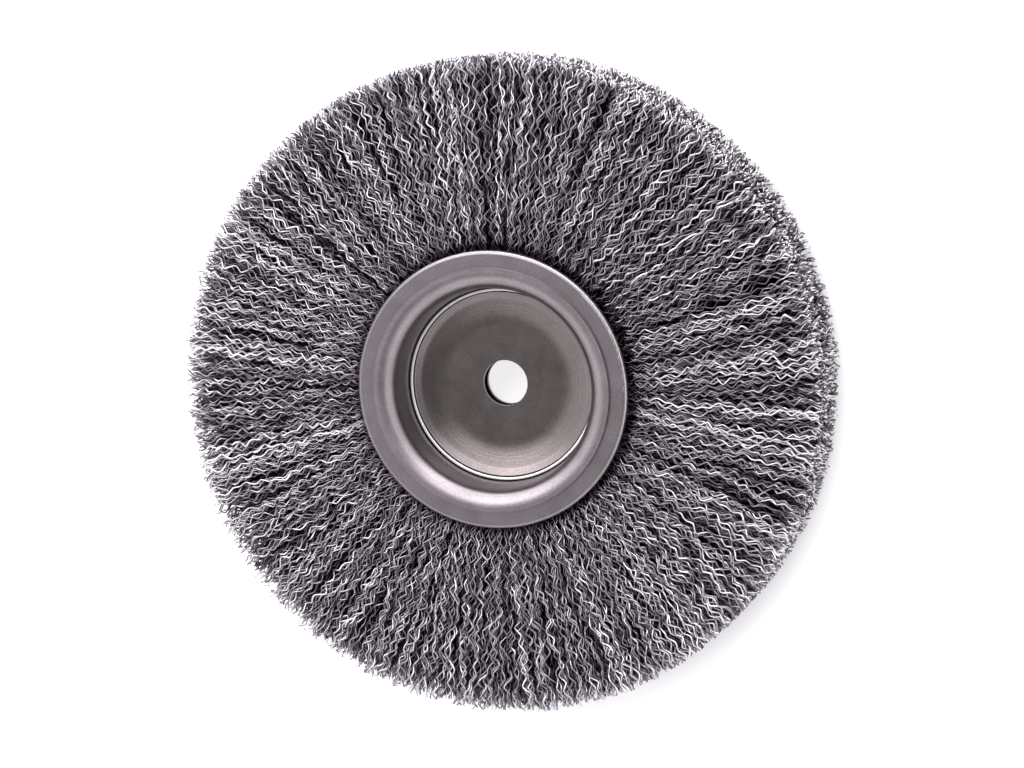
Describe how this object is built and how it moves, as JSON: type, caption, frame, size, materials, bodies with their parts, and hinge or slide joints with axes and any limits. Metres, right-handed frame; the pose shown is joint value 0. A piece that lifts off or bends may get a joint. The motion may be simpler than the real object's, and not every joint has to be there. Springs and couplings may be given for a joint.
{
  "type": "crimped wire wheel brush",
  "caption": "Wide-face crimped wire wheel for a bench grinder: a stamped steel hub with adapter cups and an arbor hole, ringed by fanned crimped steel wires.",
  "frame": {"origin": "centre of the wheel, on its axis and midway between its faces", "axes": "+Z along the wheel's axis, out of the front; X and Y lie in the wheel's plane"},
  "size_m": [0.2, 0.2, 0.038],
  "materials": {
    "plate_steel": "satin zinc-grey stamped sheet",
    "hub_steel": "satin drawn sheet, brighter on the rolled shoulder",
    "cup_steel": "satin stamped sheet",
    "hoop_steel": "plain drawn rod",
    "wire_steel": "bright crimped wire"
  },
  "bodies": {
    "root": {"front_face_plate": "plate_steel", "back_face_plate": "plate_steel", "hub_sleeve": "hub_steel", "front_adapter_cup": "cup_steel", "back_adapter_cup": "cup_steel", "front_hoop": "hoop_steel", "wires_front_01": "wire_steel", "wires_front_02": "wire_steel", "wires_front_03": "wire_steel", "wires_front_04": "wire_steel", "wires_front_05": "wire_steel", "wires_front_06": "wire_steel", "wires_front_07": "wire_steel", "wires_front_08": "wire_steel", "wires_front_09": "wire_steel", "wires_front_10": "wire_steel", "wires_front_11": "wire_steel", "wires_front_12": "wire_steel", "middle_hoop": "hoop_steel", "wires_middle_01": "wire_steel", "wires_middle_02": "wire_steel", "wires_middle_03": "wire_steel", "wires_middle_04": "wire_steel", "wires_middle_05": "wire_steel", "wires_middle_06": "wire_steel", "wires_middle_07": "wire_steel", "wires_middle_08": "wire_steel", "wires_middle_09": "wire_steel", "wires_middle_10": "wire_steel", "wires_middle_11": "wire_steel", "wires_middle_12": "wire_steel", "back_hoop": "hoop_steel", "wires_back_01": "wire_steel", "wires_back_02": "wire_steel", "wires_back_03": "wire_steel", "wires_back_04": "wire_steel", "wires_back_05": "wire_steel", "wires_back_06": "wire_steel", "wires_back_07": "wire_steel", "wires_back_08": "wire_steel", "wires_back_09": "wire_steel", "wires_back_10": "wire_steel", "wires_back_11": "wire_steel", "wires_back_12": "wire_steel"}
  },
  "joints": []
}
